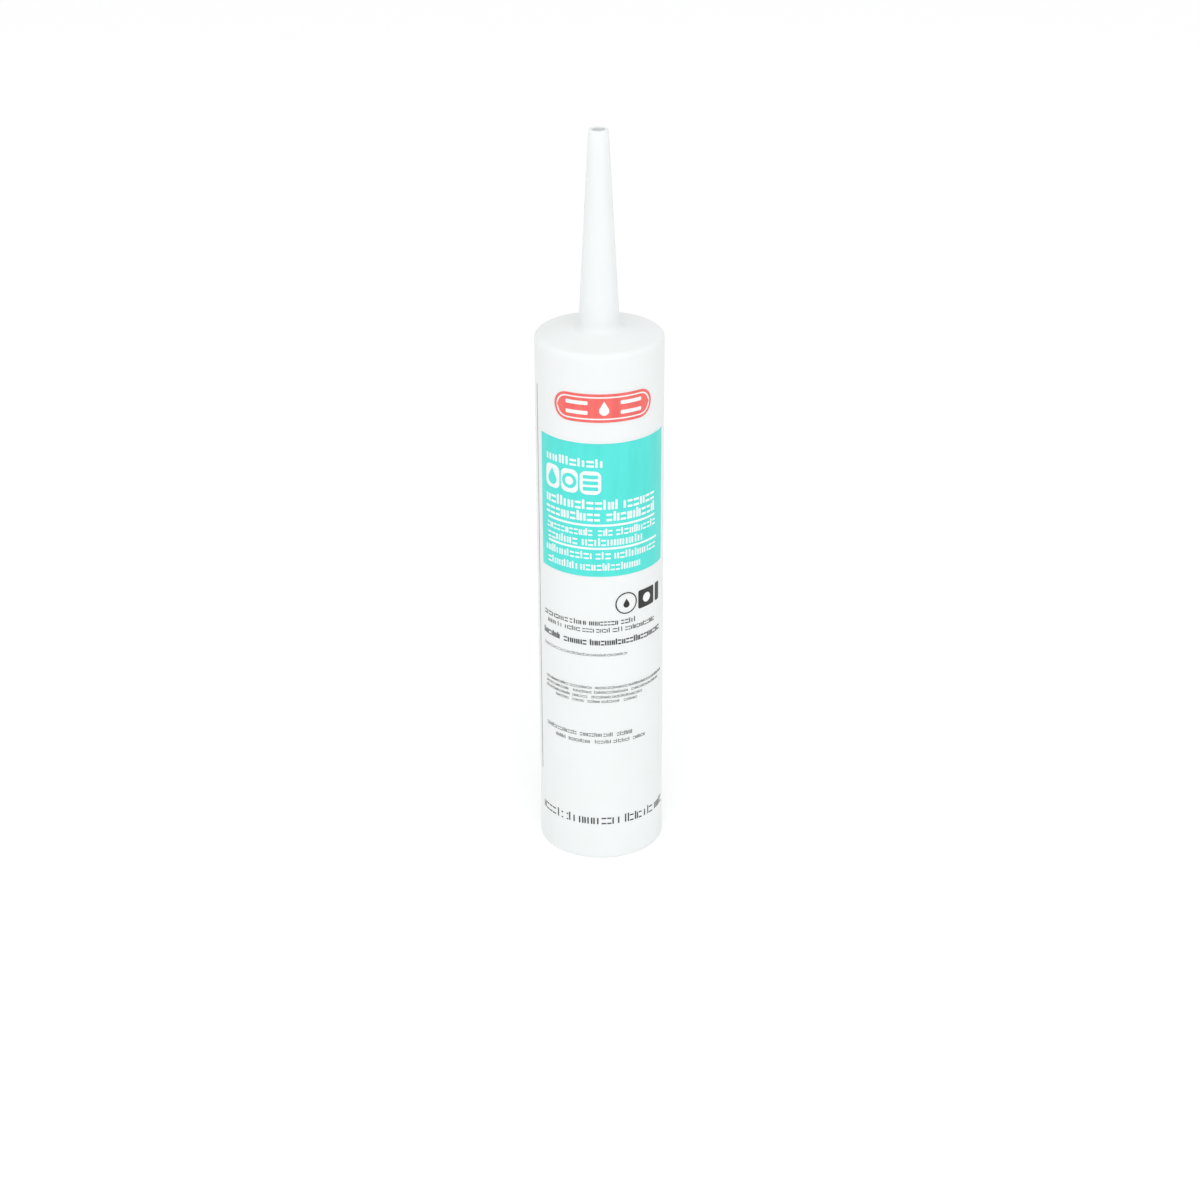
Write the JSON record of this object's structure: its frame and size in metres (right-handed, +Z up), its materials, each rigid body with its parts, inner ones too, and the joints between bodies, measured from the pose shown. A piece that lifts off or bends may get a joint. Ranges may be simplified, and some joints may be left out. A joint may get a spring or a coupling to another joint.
{
  "type": "caulk tube",
  "caption": "Upright sealant cartridge with a tapered nozzle, a sliding plunger in its open rear end and its charge of sealant.",
  "frame": {"origin": "middle of the rear rim, on the surface that the cartridge stands on", "axes": "+Z up along the barrel's axis to the nozzle's tip, -Y out of the middle of the printed front, +X to the right of it"},
  "size_m": [0.0495, 0.0496, 0.296],
  "materials": {
    "white_plastic": "satin moulded polyethylene",
    "plunger_plastic": "moulded polyethylene",
    "sealant": "soft uncured silicone",
    "red_ink": "printed ink",
    "teal_ink": "printed ink",
    "black_ink": "printed ink",
    "grey_ink": "fine black print that reads as grey"
  },
  "bodies": {
    "barrel": {"cartridge": "white_plastic", "sealant": "sealant", "red_mark": "red_ink", "teal_panel": "teal_ink", "ring_mark": "black_ink", "block_mark": "black_ink", "use_lines": "black_ink", "small_lines": "grey_ink", "grey_lines": "grey_ink", "foot_line": "black_ink", "side_columns": "grey_ink"},
    "piston": {"plunger": "plunger_plastic"}
  },
  "joints": [
    {"name": "plunger_push", "type": "slide", "parent": "barrel", "child": "piston", "axis": [0, 0, 1], "range_m": [0, 0.175], "deforming": ["sealant"]}
  ]
}
